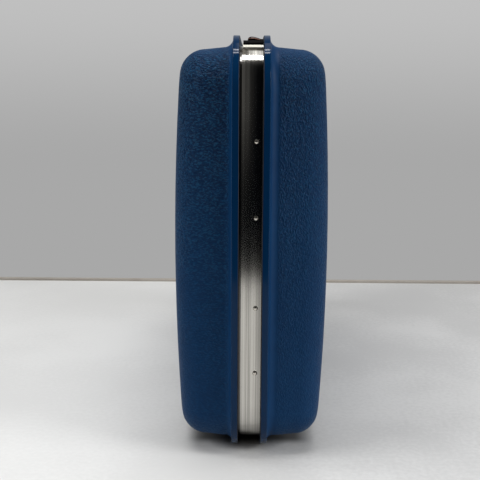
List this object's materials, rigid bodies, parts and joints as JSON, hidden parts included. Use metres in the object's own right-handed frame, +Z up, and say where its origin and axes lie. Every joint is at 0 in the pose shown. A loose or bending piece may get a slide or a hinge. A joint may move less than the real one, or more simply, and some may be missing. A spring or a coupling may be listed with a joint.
{
  "type": "hard-shell suitcase",
  "caption": "Upright hard-shell suitcase: lid hinged to a deeper body, riveted metal band between the lips, lever latches with release buttons and key locks, recessed lift-out handle.",
  "frame": {"origin": "middle of the footprint, on the surface that the lips stand on", "axes": "+Z up, +Y along the case's length towards the far end, +X across it from the lid towards the body"},
  "size_m": [0.1916, 0.66, 0.5],
  "materials": {
    "shell": "deep blue moulded shell with a fine leather grain, semi-gloss",
    "band": "brushed along the band",
    "frame": "plain mill finish",
    "rivet": "bright, domed",
    "hinge": "nickel plated, satin",
    "latch_base": "black moulded",
    "lever": "dark bronze chrome",
    "lock": "polished",
    "handle_metal": "satin chrome",
    "handle_pad": "padded, fine grain",
    "guide": "black moulded",
    "lining": "woven, quilted on the face",
    "strap": "flat webbing",
    "buckle": "black moulded"
  },
  "bodies": {
    "body": {"body_shell": "shell", "body_band": "band", "band_splice": "band", "body_lining": "lining", "near_end_rivet_1": "rivet", "near_end_rivet_2": "rivet", "near_end_rivet_3": "rivet", "near_end_rivet_4": "rivet", "far_end_rivet_1": "rivet", "far_end_rivet_2": "rivet", "far_end_rivet_3": "rivet", "far_end_rivet_4": "rivet", "top_rivet_near": "rivet", "top_rivet_far": "rivet", "hinge_body_leaf_near": "hinge", "hinge_body_leaf_far": "hinge", "hinge_pin_near": "hinge", "hinge_pin_far": "hinge", "latch_base_near": "latch_base", "latch_base_far": "latch_base", "latch_pin_near": "lock", "latch_pin_far": "lock", "handle_plate_near": "handle_metal", "handle_plate_far": "handle_metal", "handle_guide_near": "guide", "handle_guide_far": "guide", "packing_strap_near": "strap", "packing_strap_far": "strap", "strap_anchor_near_low": "buckle", "strap_anchor_near_high": "buckle", "strap_anchor_far_low": "buckle", "strap_anchor_far_high": "buckle", "strap_buckle_near": "buckle", "strap_buckle_far": "buckle"},
    "lid": {"lid_shell": "shell", "lid_frame": "frame", "lid_lining": "lining", "hinge_lid_leaf_near": "hinge", "hinge_lid_leaf_far": "hinge", "latch_strike_near": "lock", "latch_strike_far": "lock"},
    "handle": {"handle_grip": "handle_pad", "handle_end_near": "handle_metal", "handle_end_far": "handle_metal"},
    "lever_near": {"latch_lever_near": "lever"},
    "lever_far": {"latch_lever_far": "lever"},
    "button_near": {"latch_button_near": "lock"},
    "button_far": {"latch_button_far": "lock"},
    "lock_near": {"latch_lock_near": "lock"},
    "lock_far": {"latch_lock_far": "lock"}
  },
  "joints": [
    {"name": "lid_hinge", "type": "hinge", "parent": "body", "child": "lid", "pos_m": [-0.0122, 0, 0.004], "axis": [0, -1, 0], "range_deg": [0, 180]},
    {"name": "handle_lift", "type": "slide", "parent": "body", "child": "handle", "axis": [0, 0, 1], "range_m": [0, 0.022]},
    {"name": "latch_lever_near", "type": "hinge", "parent": "body", "child": "lever_near", "pos_m": [0.0106, -0.235, 0.4947], "axis": [0, 1, 0], "range_deg": [0, 75]},
    {"name": "latch_lever_far", "type": "hinge", "parent": "body", "child": "lever_far", "pos_m": [0.0106, 0.235, 0.4947], "axis": [0, 1, 0], "range_deg": [0, 75]},
    {"name": "latch_button_near", "type": "slide", "parent": "body", "child": "button_near", "axis": [0, 1, 0], "range_m": [0, 0.0035], "stiffness_N_per_m": 150},
    {"name": "latch_button_far", "type": "slide", "parent": "body", "child": "button_far", "axis": [0, -1, 0], "range_m": [0, 0.0035], "stiffness_N_per_m": 150},
    {"name": "latch_lock_near", "type": "hinge", "parent": "body", "child": "lock_near", "pos_m": [0.00085, -0.1955, 0.4947], "axis": [0, 0, 1], "range_deg": [0, 90]},
    {"name": "latch_lock_far", "type": "hinge", "parent": "body", "child": "lock_far", "pos_m": [0.00085, 0.1955, 0.4947], "axis": [0, 0, 1], "range_deg": [0, 90]}
  ]
}
